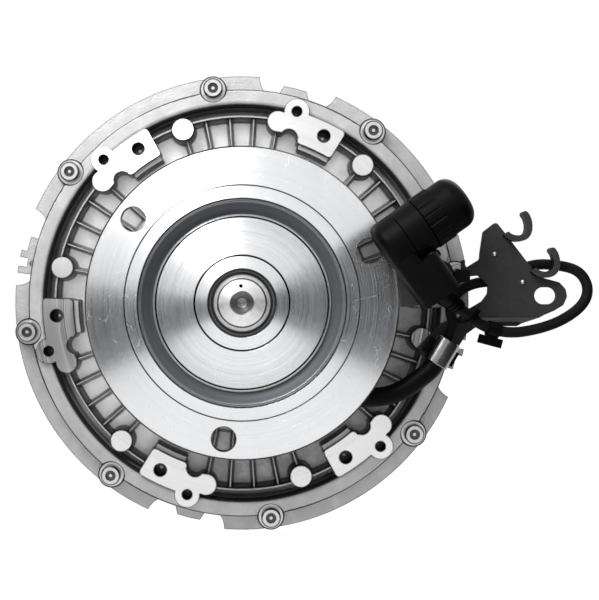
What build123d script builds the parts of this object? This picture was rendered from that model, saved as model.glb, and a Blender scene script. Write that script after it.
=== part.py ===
"""Electromagnetic viscous fan clutch for a truck engine.

The shaft lies along Y. Y = 0 is the mounting face of the input flange, on the engine side,
and +Y leads to the fan side. +Z is up. Clock angles run clockwise from the top, as seen
from the engine side. All lengths are in millimetres.
"""

from build123d import *
import os
from math import cos, radians, sin

os.makedirs("parts", exist_ok=True)

# Running gaps and fits
GAP = 0.3
PIN_FIT = 0.05
AIR_GAP = 1.0

# Input flange
FLANGE_R = 98.3
FLANGE_T = 12.0
FLANGE_HOLE_R = 8.0
FLANGE_HOLE_CIRCLE_R = 85.7
FLANGE_HOLE_COUNT = 3
FLANGE_HOLE_ANGLE = 67.7
PILOT_R = 65.0
PILOT_DEPTH = 5.8
SCRIBE_R = 73.7
DISH_DEPTH = 13.0
DISH_FOOT_R = 57.5
DISH_BACK = 17.0
HUB_FACE = 9.0
HUB_FACE_R = 54.9
HUB_LINE_R = 30.1
HUB_GROOVE_R = 21.6
HUB_GROOVE_DEPTH = 16.0
HUB_BOSS_R = 24.0

# Shaft
SHAFT_NOSE_R = 15.8
SHAFT_SEAT_R = 18.0
SHAFT_R = 20.0
SHAFT_TAIL_R = 17.5
CENTRE_DRILL_R = 7.7
SHAFT_SCREW_R = 5.0

# Bearings: ring radii, width, ball radius and count
MAGNET_BEARING_Y = 26.2
MAGNET_BEARING_W = 15.0
MAGNET_BEARING_R = 34.0
MAGNET_BALL_R = 4.0
MAGNET_BALL_COUNT = 12
MAIN_BEARING_Y = 46.0
MAIN_BEARING_W = 18.0
MAIN_BEARING_R = 40.0
MAIN_BALL_R = 6.35
MAIN_BALL_COUNT = 9
CIRCLIP_T = 1.6

# Magnet
MAGNET_FRONT = 18.5
MAGNET_FACE = 44.3
MAGNET_R = 72.0
MAGNET_WALL = 5.0
INNER_POLE_R = MAGNET_R - 23.0
SENSOR_CIRCLE_R = MAGNET_R + 7.5
TONE_IN_R = SENSOR_CIRCLE_R - 2.5
TONE_OUT_R = SENSOR_CIRCLE_R + 3.0
LEAD_Y = 22.0

# Rear housing, whose ring stands inside the rim of the front cover
RIM_R = 150.5
RING_FACE = 40.0
RING_OUT_R = RIM_R - 11.0
RING_IN_R = RING_OUT_R - 11.8
RING_ROUND_OUT = 1.2
RING_ROUND_IN = 4.5
JOINT_FACE = 56.0
POCKET_FLOOR = 58.0
INNER_FACE = 66.0
RIDGE_TOP = 41.0
RIDGE_OUT_R = RING_IN_R - 5.0
RIDGE_IN_R = RIDGE_OUT_R - 1.4
DOME_FACE = 46.0
DOME_R = TONE_OUT_R + 1.5
DOME_WALL = 5.0
HUB_R = MAIN_BEARING_R + 7.0
COLLAR_R = MAIN_BEARING_R + 5.0
COLLAR_FACE = 43.8
SEAL_R = 36.0
SPIGOT_R = RING_OUT_R - 7.1
BOSS_CIRCLE_R = RIDGE_IN_R - 2.0
BOSS_R = 7.0
BOSS_FACE = 37.5
SECTOR_COUNT = 6
BOSS_ANGLE = 41.2
RIB_PITCH = 7.5
RIBS_IN_SECTOR = 5
RIB_TOP = 43.5

# Fan pads
PAD_FACE = 36.5
PAD_ANGLE = 11.2
PAD_OUT_R = RING_IN_R + 2.0
PAD_IN_R = PAD_OUT_R - 19.8
PAD_STEP_R = PAD_IN_R - 3.3
LOBE_R = 6.8
LOBE_CIRCLE_R = PAD_OUT_R - 9.3
FAN_SMALL_CIRCLE_R = PAD_OUT_R - 0.1
FAN_SMALL_R = 3.4
FAN_SMALL_ANGLE = 4.8
FAN_LARGE_CIRCLE_R = PAD_OUT_R - 8.8
FAN_LARGE_R = 4.25
FAN_LARGE_ANGLE = 14.9
FAN_HOLE_DEPTH = 16.0
EAR_R = 8.2

# Cover screws
SCREW_COUNT = 8
SCREW_CIRCLE_R = RIM_R - 9.0
SCREW_ANGLE = 37.3
SCREW_R = 4.0
SCREW_HEAD_R = 6.5
SCREW_HEAD_H = 8.0
SCREW_HEAD_CHAMFER = 1.1
SCREW_SOCKET_R = 3.4
SCREW_SEAT = 48.0
LUG_R = 9.0
WASHER_R = 8.0
WASHER_T = 1.6

# Front cover
RIM_T = 12.0
RIM_ARCS = ((24.5, 94.5), (114.5, 184.5), (204.5, 274.5), (294.5, 364.5))
TAB_GAPS = (94.5, 274.5)
BUMP_R = RIM_R - 3.8
COVER_WALL = 7.0
COVER_INNER = 77.0
CHAMBER_R = SPIGOT_R - 6.4
FIN_TOP = 103.0
FIN_T = 2.8
FIN_COUNT = 24
DOME_COVER_R = 58.0

# Reservoir and valve
PLATE_OUT_R = DOME_R - 2.0
PLATE_T = 2.0
CHAMBER_WALL_R = PLATE_OUT_R - 8.0
PIVOT_Y = 59.0
PIVOT_Z = HUB_R + 5.5
PIVOT_R = 1.5
PORT_Z = CHAMBER_WALL_R - 5.5

# Working gap: rings on the disc run in grooves of the housing and the cover
DISC_R = CHAMBER_R - 5.0
DISC_FACE = 67.5
DISC_T = 8.0
LAND_COUNT = 5
LAND_IN_R = PLATE_OUT_R + 10.0
LAND_PITCH = (DISC_R - 5.0 - LAND_IN_R) / (LAND_COUNT - 1)
LAND_RADII = [LAND_IN_R + LAND_PITCH * i for i in range(LAND_COUNT)]
LAND_W = LAND_PITCH * 0.37
LAND_H = 4.3
LAND_CLEAR = LAND_PITCH * 0.12

# Bracket, lead and connector
SHEET_T = 2.5
BRACKET_Y = 12.0
FOOT_Y = 30.8
SLEEVE_R = 8.2
ARM_R = 6.2
CABLE_R = 3.4
CONNECTOR_R = 17.0


def clock(angle, radius):
    """X and Z of a point at a clock angle and a radius."""
    return (radius * sin(radians(angle)), radius * cos(radians(angle)))


def facing(y):
    """The plane at depth y that faces the engine: its x is X and its y is Z."""
    return Plane.XZ.offset(-y)


def radial_plane(angle, radius):
    """The plane across the radius at a clock angle: its x runs round and its y is Y."""
    x, z = clock(angle, 1)
    return Plane(origin=(radius * x, 0, radius * z), x_dir=(z, 0, -x), z_dir=(x, 0, z))


def axial_plane(angle):
    """The plane through the shaft axis at a clock angle: its x is the radius and its y is Y."""
    x, z = clock(angle, 1)
    return Plane(origin=(0, 0, 0), x_dir=(x, 0, z), z_dir=(-z, 0, x))


def spaced(start, count):
    """Clock angles spaced evenly round the axis."""
    return [start + 360 / count * k for k in range(count)]


def ring(r_in, r_out, y0, y1, mode=Mode.ADD):
    """A plain ring round the shaft axis, between two radii and two depths."""
    with BuildSketch(Plane.XY) as profile:
        with Locations(((r_in + r_out) / 2, (y0 + y1) / 2)):
            Rectangle(r_out - r_in, y1 - y0)
    revolve(profile.sketch, axis=Axis.Y, mode=mode)


def turned(points, mode=Mode.ADD):
    """A body turned round the shaft axis from (radius, depth) points."""
    with BuildSketch(Plane.XY) as profile:
        with BuildLine():
            Polyline(*points, close=True)
        make_face()
    revolve(profile.sketch, axis=Axis.Y, mode=mode)


def discs(places, radius, y0, y1, mode=Mode.ADD):
    """Round bars along Y at the given (x, z) places."""
    with BuildSketch(facing(y0)) as circles:
        with Locations(*places):
            Circle(radius)
    extrude(circles.sketch, amount=y0 - y1, mode=mode)


def keep(piece, name):
    piece.label = name
    export_step(piece, f"parts/{name}.step")


# Input flange: a turned steel disc with a dished middle
with BuildPart() as input_flange:
    turned(
        [
            (PILOT_R + 0.8, 0),
            (SCRIBE_R - 0.4, 0),
            (SCRIBE_R, 0.5),
            (SCRIBE_R + 0.4, 0),
            (FLANGE_R - 1, 0),
            (FLANGE_R, 1),
            (FLANGE_R, FLANGE_T - 1),
            (FLANGE_R - 1, FLANGE_T),
            (PILOT_R - 1, FLANGE_T),
            (DISH_FOOT_R + 3, DISH_BACK),
            (HUB_BOSS_R, DISH_BACK),
            (HUB_BOSS_R, MAGNET_BEARING_Y - 0.2),
            (SHAFT_SEAT_R, MAGNET_BEARING_Y - 0.2),
            (SHAFT_SEAT_R, HUB_GROOVE_DEPTH),
            (HUB_GROOVE_R, HUB_GROOVE_DEPTH),
            (HUB_GROOVE_R, HUB_FACE + 0.4),
            (HUB_GROOVE_R + 0.4, HUB_FACE),
            (HUB_LINE_R - 0.6, HUB_FACE),
            (HUB_LINE_R, HUB_FACE + 0.8),
            (HUB_LINE_R + 0.6, HUB_FACE),
            (HUB_FACE_R - 1, HUB_FACE),
            (HUB_FACE_R, HUB_FACE + 1),
            (HUB_FACE_R, DISH_DEPTH),
            (DISH_FOOT_R, DISH_DEPTH),
            (PILOT_R - 1.2, PILOT_DEPTH),
            (PILOT_R, PILOT_DEPTH),
            (PILOT_R, 0.8),
        ]
    )
    hole_angles = spaced(FLANGE_HOLE_ANGLE, FLANGE_HOLE_COUNT)
    flange_bolts = [clock(a, FLANGE_HOLE_CIRCLE_R) for a in hole_angles]
    discs(flange_bolts, FLANGE_HOLE_R, 0, FLANGE_T, Mode.SUBTRACT)
keep(input_flange.part, "input_flange")

# Drive shaft: centre drilled nose, bearing journal and a tapped tail
MAIN_BEARING_END = MAIN_BEARING_Y + MAIN_BEARING_W
DISC_HUB_END = 82.0
CIRCLIP_Y = MAGNET_BEARING_Y + MAGNET_BEARING_W + 0.2
with BuildPart() as drive_shaft:
    turned(
        [
            (0, HUB_FACE + 11),
            (3.3, HUB_FACE + 9.5),
            (3.3, HUB_FACE + 6.5),
            (CENTRE_DRILL_R - 0.7, HUB_FACE + 0.8),
            (CENTRE_DRILL_R, HUB_FACE),
            (SHAFT_NOSE_R - 1, HUB_FACE),
            (SHAFT_NOSE_R, HUB_FACE + 1),
            (SHAFT_NOSE_R, HUB_GROOVE_DEPTH),
            (SHAFT_SEAT_R, HUB_GROOVE_DEPTH),
            (SHAFT_SEAT_R, MAGNET_BEARING_Y - 0.2),
            (SHAFT_R, MAGNET_BEARING_Y - 0.2),
            (SHAFT_R, CIRCLIP_Y),
            (SHAFT_R - 1.2, CIRCLIP_Y),
            (SHAFT_R - 1.2, CIRCLIP_Y + CIRCLIP_T),
            (SHAFT_R, CIRCLIP_Y + CIRCLIP_T),
            (SHAFT_R, MAIN_BEARING_END),
            (SHAFT_TAIL_R, MAIN_BEARING_END),
            (SHAFT_TAIL_R, DISC_HUB_END - 1.5),
            (SHAFT_TAIL_R - 1, DISC_HUB_END - 0.5),
            (0, DISC_HUB_END - 0.5),
        ]
    )
    discs([(0, 0)], SHAFT_SCREW_R, DISC_HUB_END - 22, DISC_HUB_END, Mode.SUBTRACT)
    discs([clock(-4, 10.8)], 1.1, HUB_FACE, HUB_FACE + 4, Mode.SUBTRACT)
keep(drive_shaft.part, "drive_shaft")


def ball_places(count, pitch_r, y):
    """Centres of the balls of one bearing."""
    return [(x, y, z) for x, z in (clock(a, pitch_r) for a in spaced(0, count))]


def bearing(name, y, width, r_out, ball_r, count):
    """A deep groove ball bearing on the shaft: two rings, a set of balls and a cage."""
    middle = y + width / 2
    pitch = (SHAFT_R + r_out) / 2
    land = ball_r * 0.45
    with BuildPart() as inner:
        ring(SHAFT_R, pitch - land, y, y + width)
        with BuildSketch(Plane.XY):
            with Locations((pitch, middle)):
                Circle(ball_r + GAP)
        revolve(axis=Axis.Y, mode=Mode.SUBTRACT)
    keep(inner.part, f"{name}_inner_ring")
    with BuildPart() as outer:
        ring(pitch + land, r_out, y, y + width)
        with BuildSketch(Plane.XY):
            with Locations((pitch, middle)):
                Circle(ball_r + GAP)
        revolve(axis=Axis.Y, mode=Mode.SUBTRACT)
    keep(outer.part, f"{name}_outer_ring")
    with BuildPart() as balls:
        with Locations(*ball_places(count, pitch, middle)):
            Sphere(ball_r)
    keep(balls.part, f"{name}_balls")
    with BuildPart() as cage:
        half = ball_r * 0.22
        ring(pitch - half, pitch + half, middle - ball_r - 0.7, middle + ball_r + 0.7)
        with BuildSketch(*[radial_plane(a, pitch - 2 * half) for a in spaced(0, count)]):
            with Locations((0, middle)):
                Circle(ball_r + 0.1)
        extrude(amount=4 * half, mode=Mode.SUBTRACT)
    keep(cage.part, f"{name}_cage")


# Magnet bearing and main bearing
bearing(
    "magnet_bearing",
    MAGNET_BEARING_Y,
    MAGNET_BEARING_W,
    MAGNET_BEARING_R,
    MAGNET_BALL_R,
    MAGNET_BALL_COUNT,
)
bearing(
    "main_bearing",
    MAIN_BEARING_Y,
    MAIN_BEARING_W,
    MAIN_BEARING_R,
    MAIN_BALL_R,
    MAIN_BALL_COUNT,
)

# Circlip that holds the magnet bearing on the shaft
with BuildPart() as circlip:
    with BuildSketch(facing(CIRCLIP_Y + 0.05)):
        Circle(SHAFT_R + 2.2)
        with Locations(clock(-12, SHAFT_R + 1.4), clock(12, SHAFT_R + 1.4)):
            Circle(2.2)
        Circle(SHAFT_R - 1.2 + 0.02, mode=Mode.SUBTRACT)
        with Locations(clock(-12, SHAFT_R + 1.6), clock(12, SHAFT_R + 1.6)):
            Circle(1, mode=Mode.SUBTRACT)
        with Locations((0, SHAFT_R)):
            Rectangle(5, 9, mode=Mode.SUBTRACT)
    extrude(amount=-(CIRCLIP_T - 0.1))
keep(circlip.part, "magnet_bearing_circlip")

# Magnet case: a steel pot round the coil, with the socket of the lead arm
ARM_Z = -0.84 * MAGNET_R
SOCKET_X = 0.6 * MAGNET_R
SOCKET_R = 8.4
SOCKET_END = SOCKET_X + 23.0
with BuildPart() as magnet_case:
    with BuildSketch(Plane.YZ.offset(SOCKET_END)):
        with Locations((LEAD_Y, ARM_Z)):
            Circle(SOCKET_R)
    extrude(amount=-36)
    ring(0, MAGNET_R - MAGNET_WALL + 1, 0, MAGNET_FACE, Mode.SUBTRACT)
    turned(
        [
            (MAGNET_BEARING_R - 3, MAGNET_FRONT + 3),
            (INNER_POLE_R, MAGNET_FRONT),
            (MAGNET_R - 2, MAGNET_FRONT),
            (MAGNET_R, MAGNET_FRONT + 2),
            (MAGNET_R, MAGNET_FACE),
            (MAGNET_R - MAGNET_WALL, MAGNET_FACE),
            (MAGNET_R - MAGNET_WALL, MAGNET_FRONT + 5),
            (INNER_POLE_R + 5, MAGNET_FRONT + 5),
            (INNER_POLE_R + 5, MAGNET_FACE),
            (INNER_POLE_R, MAGNET_FACE),
            (INNER_POLE_R - 2, MAGNET_FACE - 1.5),
            (MAGNET_BEARING_R, MAGNET_FACE - 1.5),
            (MAGNET_BEARING_R, MAGNET_BEARING_Y),
            (MAGNET_BEARING_R - 3, MAGNET_BEARING_Y),
        ]
    )
    with BuildSketch(Plane.YZ.offset(SOCKET_X - 1)):
        with Locations((LEAD_Y, ARM_Z)):
            Circle(ARM_R)
    extrude(amount=30, mode=Mode.SUBTRACT)
keep(magnet_case.part, "magnet_case")

# Coil in its plastic bobbin, under a potted cover ring
BOBBIN_IN = INNER_POLE_R + 5 + GAP
BOBBIN_OUT = MAGNET_R - MAGNET_WALL - GAP
COIL_Y0 = MAGNET_FRONT + 5 + 0.2
COIL_Y1 = MAGNET_FACE - 2.4
with BuildPart() as bobbin:
    turned(
        [
            (BOBBIN_IN, COIL_Y0),
            (BOBBIN_OUT, COIL_Y0),
            (BOBBIN_OUT, COIL_Y0 + 1.5),
            (BOBBIN_IN + 1.5, COIL_Y0 + 1.5),
            (BOBBIN_IN + 1.5, COIL_Y1 - 1.5),
            (BOBBIN_OUT, COIL_Y1 - 1.5),
            (BOBBIN_OUT, COIL_Y1),
            (BOBBIN_IN, COIL_Y1),
        ]
    )
keep(bobbin.part, "coil_bobbin")
with BuildPart() as coil:
    ring(BOBBIN_IN + 1.5 + 0.05, BOBBIN_OUT - 0.8, COIL_Y0 + 1.55, COIL_Y1 - 1.55)
keep(coil.part, "magnet_coil")
with BuildPart() as coil_cover:
    ring(BOBBIN_IN, BOBBIN_OUT, COIL_Y1 + 0.1, MAGNET_FACE - 0.3)
keep(coil_cover.part, "coil_cover")

# Speed sensor on the magnet case, which reads the tone ring
SENSOR_ANGLE = 168.0
TONE_Y = DOME_FACE - 2.2
with BuildPart() as speed_sensor:
    with BuildSketch(facing(29)):
        with Locations(Location(clock(SENSOR_ANGLE, SENSOR_CIRCLE_R), -SENSOR_ANGLE)):
            RectangleRounded(13, 13.4, 2)
    extrude(amount=-(TONE_Y - AIR_GAP - 4 - 29))
    discs([clock(SENSOR_ANGLE, SENSOR_CIRCLE_R)], 4.5, TONE_Y - AIR_GAP - 4, TONE_Y - AIR_GAP)
keep(speed_sensor.part, "speed_sensor")

# Lead arm: a plastic tube from the magnet case, out and round to the sleeve
SLEEVE_LENGTH = 17.5
SLEEVE_TILT = 59.1
SLEEVE_TOP = (132.3, -23.9)
ARM_ROOT = (SOCKET_X, ARM_Z)
ARM_BEND = (97.0, ARM_Z)
sleeve_dir = Vector(cos(radians(SLEEVE_TILT)), 0, sin(radians(SLEEVE_TILT)))
sleeve_end = Vector(SLEEVE_TOP[0], LEAD_Y, SLEEVE_TOP[1])
arm_corner = sleeve_end - sleeve_dir * (SLEEVE_LENGTH + 4.6)
with BuildPart() as lead_arm:
    with BuildLine(facing(LEAD_Y)):
        FilletPolyline(ARM_ROOT, ARM_BEND, (arm_corner.X, arm_corner.Z), SLEEVE_TOP, radius=[46, 24])
    with BuildSketch(Plane(origin=(ARM_ROOT[0], LEAD_Y, ARM_ROOT[1]), z_dir=(1, 0, 0))):
        Circle(ARM_R - PIN_FIT)
    sweep()
arm_bore = 16.0
with BuildPart() as lead_arm_bored:
    add(lead_arm.part)
    with BuildSketch(Plane(origin=sleeve_end - sleeve_dir * arm_bore, z_dir=sleeve_dir)):
        Circle(CABLE_R + GAP)
    extrude(amount=arm_bore + 1, mode=Mode.SUBTRACT)
keep(lead_arm_bored.part, "lead_arm")

# Steel sleeve over the end of the arm
with BuildPart() as arm_sleeve:
    with BuildSketch(Plane(origin=sleeve_end - sleeve_dir * SLEEVE_LENGTH, z_dir=sleeve_dir)):
        Circle(SLEEVE_R)
        Circle(ARM_R, mode=Mode.SUBTRACT)
    extrude(amount=SLEEVE_LENGTH)
    sleeve_rims = arm_sleeve.edges().filter_by(GeomType.CIRCLE)
    chamfer(sleeve_rims.filter_by(lambda e: e.radius > ARM_R + 1), length=0.5)
keep(arm_sleeve.part, "arm_sleeve")

# Places of the saddle that joins the sleeve to the bracket's foot
SADDLE_W = 10.0
SADDLE_FRONT = 1.5
SADDLE_SCREW_R = 1.5
SADDLE_SCREW_X = 7.5
saddle_middle = sleeve_end - sleeve_dir * (SLEEVE_LENGTH / 2)
saddle_across = Vector(sleeve_dir.Z, 0, -sleeve_dir.X)
saddle_plane = Plane(origin=saddle_middle, x_dir=saddle_across, z_dir=sleeve_dir)
foot_depth = FOOT_Y - LEAD_Y
saddle_holes = [
    (
        saddle_middle.X + saddle_across.X * side * SADDLE_SCREW_X,
        saddle_middle.Z + saddle_across.Z * side * SADDLE_SCREW_X,
    )
    for side in (-1, 1)
]

# Bracket: dark sheet steel, bent back along its lower edge to a foot behind the sleeve
HOOK = ((-1, 0.5), (5.5, -2.6), (11.4, -1.0), (13.3, 6.5), (10.8, 12.6))
HOOK_W = 3.8
HOOK_REACH = 7.0
HOOK_ROOTS = ((167.0, 43.2), (184.3, 20.4))
SLOT_CENTRE = (191.6, 4.6)
SLOT_LENGTH = 13.6
SLOT_WIDTH = 10.7
RIVETS = ((159.7, 31.0), (177.4, 13.3))
RIVET_R = 1.6
BEND_Z = -7.4
FOOT_BEND_Z = -12.5
with BuildPart() as lead_bracket:
    with BuildSketch(facing(BRACKET_Y)):
        with BuildLine():
            Polyline(
                (160.7, 51.4),
                (152.3, 44.9),
                (150.3, 31.1),
                (150.1, 27.5),
                (142.0, 22.5),
                (138.6, 22.5),
                (140.2, 16.3),
                (149.0, 17.3),
                (152.3, 14.9),
                (155.4, 11.4),
                (155.2, 6.0),
                (151.7, 1.1),
                (145.7, -2.5),
                (140.4, -4.9),
                (144.0, BEND_Z),
                (191.5, BEND_Z),
                (197.4, -4.9),
                (203.3, -1.3),
                (205.6, 4.1),
                (204.6, 8.9),
                (200.7, 13.1),
                (187.4, 16.7),
                (164.9, 46.1),
                close=True,
            )
        make_face()
        with Locations(SLOT_CENTRE):
            SlotOverall(SLOT_LENGTH, SLOT_WIDTH, mode=Mode.SUBTRACT)
        with Locations(*RIVETS):
            Circle(RIVET_R, mode=Mode.SUBTRACT)
    extrude(amount=-SHEET_T)
    with BuildSketch(Plane.YZ.offset(139)):
        with BuildLine():
            Polyline(
                (BRACKET_Y + 0.3, BEND_Z + 0.6),
                (BRACKET_Y + SHEET_T, BEND_Z + 0.6),
                (FOOT_Y + SHEET_T, FOOT_BEND_Z + 1.5),
                (FOOT_Y + SHEET_T, FOOT_BEND_Z - SHEET_T),
                (FOOT_Y, FOOT_BEND_Z - SHEET_T),
                (FOOT_Y, FOOT_BEND_Z - 0.6),
                (BRACKET_Y + 0.3, BEND_Z - 2.0),
                close=True,
            )
        make_face()
    extrude(amount=52.5)
    with BuildSketch(facing(BRACKET_Y - 1)):
        with BuildLine():
            Polyline((191.5, BEND_Z), (177.0, -15.2), (177.0, -20.0), (200.0, -20.0), (200.0, BEND_Z), close=True)
        make_face()
    extrude(amount=-(FOOT_Y + 5 - BRACKET_Y), mode=Mode.SUBTRACT)
    with BuildSketch(facing(FOOT_Y)):
        with BuildLine():
            Polyline(
                (152.0, -11.0),
                (139.0, -9.6),
                (129.0, -12.8),
                (120.1, -21.7),
                (113.6, -28.6),
                (117.5, -37.0),
                (124.0, -40.0),
                (138.5, -30.5),
                (145.0, -20.0),
                (152.0, -15.0),
                close=True,
            )
        make_face()
    extrude(amount=-SHEET_T)
    with BuildSketch(facing(BRACKET_Y - HOOK_REACH)):
        for root in HOOK_ROOTS:
            with BuildLine() as hook:
                Spline(*[(root[0] + x, root[1] + z) for x, z in HOOK])
            trace(line_width=HOOK_W)
            with Locations(hook.line @ 1):
                Circle(HOOK_W / 2)
    extrude(amount=-(HOOK_REACH + SHEET_T))
    with BuildSketch(facing(BRACKET_Y - 3)):
        with Locations((139.6, 24.0)):
            Rectangle(2.0, 6.0)
    extrude(amount=-(3 + SHEET_T))
    discs(saddle_holes, SADDLE_SCREW_R, FOOT_Y, FOOT_Y + SHEET_T, Mode.SUBTRACT)
    upright = lead_bracket.edges().filter_by(Axis.Y).filter_by(lambda e: 2.4 < e.length < 2.6)
    corner = upright.filter_by(lambda e: e.center().X > 150 and e.center().Z > -6)
    fillet(corner, radius=2.2)
keep(lead_bracket.part, "lead_bracket")

# Two bright rivets in the bracket
with BuildPart() as rivets:
    discs(RIVETS, RIVET_R, BRACKET_Y - 0.2, BRACKET_Y + SHEET_T)
    with Locations(*[(x, BRACKET_Y - 0.2, z) for x, z in RIVETS]):
        Sphere(RIVET_R)
    discs(RIVETS, RIVET_R + 0.8, BRACKET_Y + SHEET_T, BRACKET_Y + SHEET_T + 0.8)
keep(rivets.part, "bracket_rivets")

# Saddle between the sleeve and the foot, with its two screws
with BuildPart() as sleeve_saddle:
    with BuildSketch(saddle_plane):
        with Locations((-0.4, (SADDLE_FRONT + foot_depth) / 2)):
            Rectangle(21.6, foot_depth - SADDLE_FRONT)
        Circle(SLEEVE_R, mode=Mode.SUBTRACT)
    extrude(amount=SADDLE_W / 2, both=True)
    discs(saddle_holes, SADDLE_SCREW_R, FOOT_Y - 2.5, FOOT_Y, Mode.SUBTRACT)
keep(sleeve_saddle.part, "sleeve_saddle")
with BuildPart() as saddle_screws:
    discs(saddle_holes, SADDLE_SCREW_R, FOOT_Y - 2.4, FOOT_Y + SHEET_T)
    discs(saddle_holes, SADDLE_SCREW_R + 1.2, FOOT_Y + SHEET_T, FOOT_Y + SHEET_T + 1.2)
    discs(saddle_holes, 0.9, FOOT_Y + SHEET_T + 0.5, FOOT_Y + SHEET_T + 1.3, Mode.SUBTRACT)
keep(saddle_screws.part, "saddle_screws")

# Lead from the arm, behind the bracket, round in a loop and back into the connector
CABLE_END = (126.5, -9.0, 3.2)
CABLE_POINTS = (
    (126.2, 22.0, -34.1),
    (136.5, 22.0, -16.9),
    (131.5, 21.5, -1.0),
    (143.0, 20.5, 12.2),
    (165.0, 19.5, 14.5),
    (184.0, 19.5, 25.2),
    (204.0, 18.5, 24.0),
    (215.3, 17.0, 19.9),
    (220.2, 15.0, 9.5),
    (216.3, 13.0, -1.3),
    (202.4, 11.0, -11.1),
    (186.0, 9.0, -16.7),
    (168.0, 8.0, -19.3),
    (151.0, 5.5, -14.8),
    (138.0, -1.5, -5.4),
    CABLE_END,
)


def corner_radii(points, share=0.45):
    """The largest arc that each corner of a route takes, from its shorter run and its turn."""
    radii = []
    for before, here, after in zip(points, points[1:], points[2:]):
        run_in = Vector(*here) - Vector(*before)
        run_out = Vector(*after) - Vector(*here)
        half_turn = radians(run_in.get_angle(run_out) / 2)
        shorter = min(run_in.length, run_out.length)
        radii.append(share * shorter * cos(half_turn) / sin(half_turn))
    return radii


cable_radii = corner_radii(CABLE_POINTS)
cable_start_dir = (Vector(*CABLE_POINTS[1]) - Vector(*CABLE_POINTS[0])).normalized()
with BuildPart() as lead_cable:
    with BuildLine():
        FilletPolyline(*CABLE_POINTS, radius=cable_radii)
    with BuildSketch(Plane(origin=CABLE_POINTS[0], z_dir=cable_start_dir)):
        Circle(CABLE_R)
    sweep()
keep(lead_cable.part, "lead_cable")


def along_run(index, share):
    """A plane across the lead at a share of one of its runs: its y points down."""
    start = Vector(*CABLE_POINTS[index])
    end = Vector(*CABLE_POINTS[index + 1])
    direction = (end - start).normalized()
    return Plane(origin=start + (end - start) * share, x_dir=(0, 1, 0), z_dir=direction)


# Cable tie near the connector, and the clip that hangs under the lead
with BuildPart() as cable_tie:
    with BuildSketch(along_run(13, 0.62)):
        Circle(CABLE_R + 1.3)
        with Locations((0, -CABLE_R - 1.5)):
            Rectangle(4.6, 3.4)
        Circle(CABLE_R + 0.05, mode=Mode.SUBTRACT)
    extrude(amount=1.8, both=True)
keep(cable_tie.part, "cable_tie")
with BuildPart() as cable_clip:
    with BuildSketch(along_run(12, 0.6)):
        Circle(CABLE_R + 1.6)
        with Locations((0, CABLE_R + 3.6)):
            RectangleRounded(4.4, 5.2, 0.8)
    extrude(amount=3.8, both=True)
    with BuildSketch(along_run(12, 0.6)):
        with Locations((0, CABLE_R + 4.2)):
            RectangleRounded(4.4, 5.6, 0.8)
    extrude(amount=7.4, both=True)
    with BuildSketch(along_run(12, 0.6)):
        Circle(CABLE_R + GAP)
        with Locations((0, -CABLE_R)):
            Rectangle(2.4, 6)
    extrude(amount=8, both=True, mode=Mode.SUBTRACT)
keep(cable_clip.part, "cable_clip")

# Connector: a round plug with its coupling ring and cap, and an elbow backshell
CONNECTOR_Y = -21.0
CONNECTOR_TILT = 35.0
CONNECTOR_OFFSET = -24.0
BACKSHELL_U = 88.0
BODY_U = 103.5
RING_U = 118.3
CAP_U = 130.3
CAP_END_U = 148.0
LEG_U = 114.0
LEG_N = -67.0
LEG_DEPTH = 28.0
connector_u = Vector(cos(radians(CONNECTOR_TILT)), 0, sin(radians(CONNECTOR_TILT)))
connector_n = Vector(-connector_u.Z, 0, connector_u.X)


def connector_plane(u):
    """The plane across the plug at a distance along it: its x points away from the leg."""
    origin = connector_u * u + connector_n * CONNECTOR_OFFSET + Vector(0, CONNECTOR_Y, 0)
    return Plane(origin=origin, x_dir=connector_n, z_dir=connector_u)


plug_axis = Axis(connector_plane(0).origin, connector_u)
with BuildPart() as connector_body:
    with BuildSketch(connector_plane(BODY_U)):
        Circle(CONNECTOR_R)
    extrude(amount=RING_U - 0.2 - BODY_U)
    chamfer(connector_body.edges().filter_by(GeomType.CIRCLE), length=0.6)
keep(connector_body.part, "connector_body")
with BuildPart() as coupling_ring:
    with BuildSketch(connector_plane(RING_U)):
        Circle(CONNECTOR_R + 0.5)
        with PolarLocations(CONNECTOR_R + 1.3, 18):
            Circle(1.3, mode=Mode.SUBTRACT)
    extrude(amount=CAP_U - 0.2 - RING_U)
keep(coupling_ring.part, "connector_ring")
with BuildPart() as connector_cap:
    with BuildSketch(connector_plane(CAP_U)):
        Circle(CONNECTOR_R - 0.3)
    extrude(amount=CAP_END_U - CAP_U)
    tip = connector_cap.edges().filter_by(GeomType.CIRCLE).sort_by(plug_axis)[-1]
    fillet(tip, radius=9)
keep(connector_cap.part, "connector_cap")

# Boot that leads the cable into the backshell
boot_dir = (Vector(*CABLE_POINTS[-2]) - Vector(*CABLE_END)).normalized()
BOOT_R = 7.0
BOOT_ROOT = 7.0
BOOT_LENGTH = 11.5
with BuildPart() as connector_boot:
    with BuildSketch(Plane(origin=Vector(*CABLE_END) - boot_dir * BOOT_ROOT, z_dir=boot_dir)):
        Circle(BOOT_R)
    with BuildSketch(Plane(origin=Vector(*CABLE_END) + boot_dir * BOOT_LENGTH, z_dir=boot_dir)):
        Circle(4.9)
    loft()
    for step in (2.0, 5.0, 8.0):
        with BuildSketch(Plane(origin=Vector(*CABLE_END) + boot_dir * step, z_dir=boot_dir)):
            Circle(9)
            Circle(4.7, mode=Mode.SUBTRACT)
        extrude(amount=1.2, mode=Mode.SUBTRACT)
    with BuildSketch(Plane(origin=Vector(*CABLE_END) + boot_dir * BOOT_LENGTH, z_dir=boot_dir)):
        Circle(CABLE_R + 0.05)
    extrude(amount=-BOOT_LENGTH, mode=Mode.SUBTRACT)
keep(connector_boot.part, "connector_boot")
leg_plane = Plane(
    origin=connector_n * LEG_N + Vector(0, CONNECTOR_Y, 0),
    x_dir=connector_u,
    z_dir=connector_n,
)
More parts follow.
